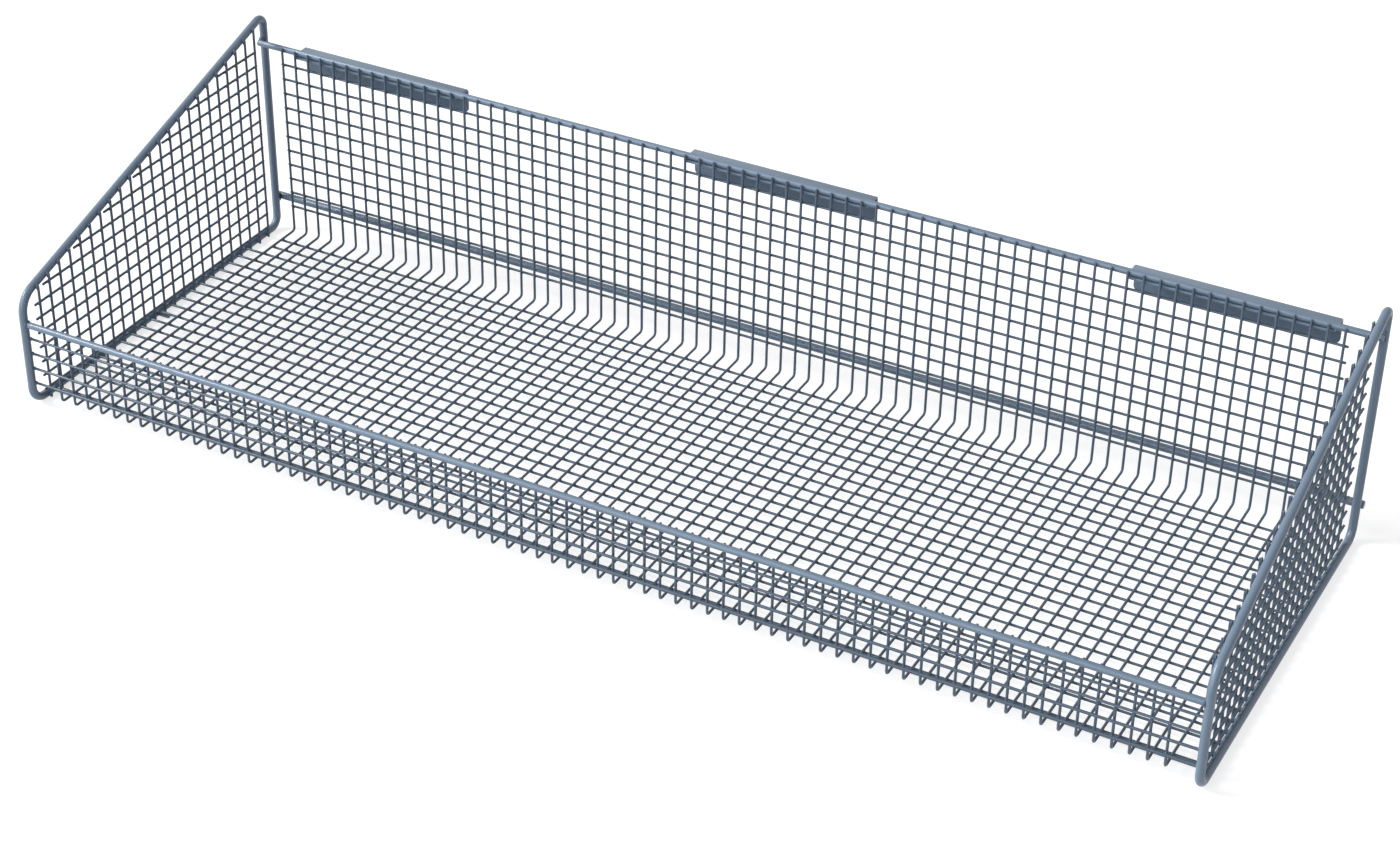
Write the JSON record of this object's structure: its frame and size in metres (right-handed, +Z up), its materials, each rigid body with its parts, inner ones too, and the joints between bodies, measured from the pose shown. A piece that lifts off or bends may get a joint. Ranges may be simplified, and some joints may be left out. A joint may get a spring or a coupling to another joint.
{
  "type": "hanging wall basket",
  "caption": "Long open wire basket of welded mesh with sloped side frames, a low front and sheet hooks behind its back rail for hanging on a wall rail.",
  "frame": {"origin": "under the middle of the basket's box, on the surface that the legs of its side frames stand on", "axes": "+X along the basket to the viewer's right, +Y from the low front to the high back, +Z up"},
  "size_m": [0.9202, 0.3288, 0.1924],
  "materials": {
    "frame_coat": "smooth blue-grey powder coat, satin",
    "rail_coat": "smooth blue-grey powder coat, satin",
    "rod_coat": "smooth blue-grey powder coat, satin",
    "mesh_coat": "smooth blue-grey powder coat, satin",
    "hook_coat": "smooth blue-grey powder coat, satin"
  },
  "bodies": {
    "root": {"back_cross_wire_01": "mesh_coat", "back_cross_wire_02": "mesh_coat", "back_cross_wire_03": "mesh_coat", "back_cross_wire_04": "mesh_coat", "back_cross_wire_05": "mesh_coat", "back_cross_wire_07": "mesh_coat", "back_cross_wire_08": "mesh_coat", "back_cross_wire_09": "mesh_coat", "back_cross_wire_10": "mesh_coat", "back_cross_wire_11": "mesh_coat", "back_rod": "rod_coat", "back_top_rail": "rail_coat", "floor_cross_wire_01": "mesh_coat", "floor_cross_wire_02": "mesh_coat", "floor_cross_wire_03": "mesh_coat", "floor_cross_wire_04": "mesh_coat", "floor_cross_wire_05": "mesh_coat", "floor_cross_wire_06": "mesh_coat", "floor_cross_wire_07": "mesh_coat", "floor_cross_wire_08": "mesh_coat", "floor_cross_wire_09": "mesh_coat", "floor_cross_wire_10": "mesh_coat", "floor_cross_wire_11": "mesh_coat", "floor_cross_wire_12": "mesh_coat", "floor_cross_wire_13": "mesh_coat", "floor_cross_wire_14": "mesh_coat", "floor_cross_wire_15": "mesh_coat", "floor_cross_wire_16": "mesh_coat", "floor_cross_wire_17": "mesh_coat", "floor_cross_wire_18": "mesh_coat", "floor_cross_wire_19": "mesh_coat", "floor_cross_wire_20": "mesh_coat", "floor_cross_wire_21": "mesh_coat", "floor_cross_wire_22": "mesh_coat", "floor_rod": "rod_coat", "floor_stub_left": "rod_coat", "floor_stub_right": "rod_coat", "front_cross_wire_01": "mesh_coat", "front_cross_wire_02": "mesh_coat", "front_cross_wire_03": "mesh_coat", "front_cross_wire_04": "mesh_coat", "front_top_rail": "rail_coat", "hook_left": "hook_coat", "hook_middle": "hook_coat", "hook_right": "hook_coat", "side_frame_left": "frame_coat", "side_frame_right": "frame_coat", "side_posts_left": "mesh_coat", "side_posts_right": "mesh_coat", "side_rows_left": "mesh_coat", "side_rows_right": "mesh_coat", "tray_long_wires": "mesh_coat"}
  },
  "joints": []
}
